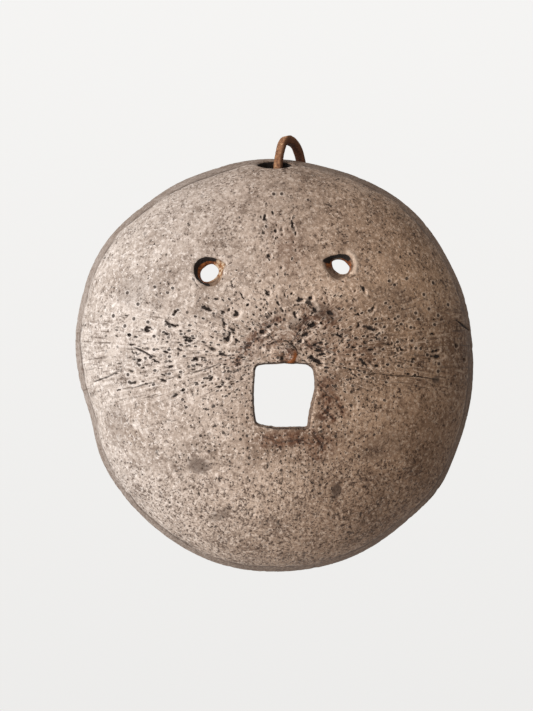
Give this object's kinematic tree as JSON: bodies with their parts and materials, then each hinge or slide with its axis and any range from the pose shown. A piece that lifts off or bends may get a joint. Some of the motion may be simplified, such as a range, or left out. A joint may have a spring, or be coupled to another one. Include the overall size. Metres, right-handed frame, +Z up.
{
  "type": "hanging gourd face mask",
  "caption": "Domed gourd-shell face mask with two carved eye holes, a four-sided mouth, a stem-scar nose and a leather thong loop to hang it by.",
  "frame": {"origin": "on the flat back rim at its lowest point, midway through the shell wall", "axes": "+X to the right of a viewer who faces the mask, +Y from the face to the wall behind it, +Z up towards the hanging thong"},
  "size_m": [0.1562, 0.0502, 0.1713],
  "materials": {
    "gourd_rind": "dry weathered rind, matt, pitted",
    "thong_leather": "worn brown leather strap"
  },
  "bodies": {
    "mask": {"gourd_shell": "gourd_rind"},
    "hanger": {"hanging_thong": "thong_leather", "thong_knot": "thong_leather"}
  },
  "joints": [
    {"name": "thong_sway", "type": "hinge", "parent": "mask", "child": "hanger", "pos_m": [0.008, -0.005, 0.15509], "axis": [0, 1, 0], "range_deg": [-8, 8]}
  ]
}
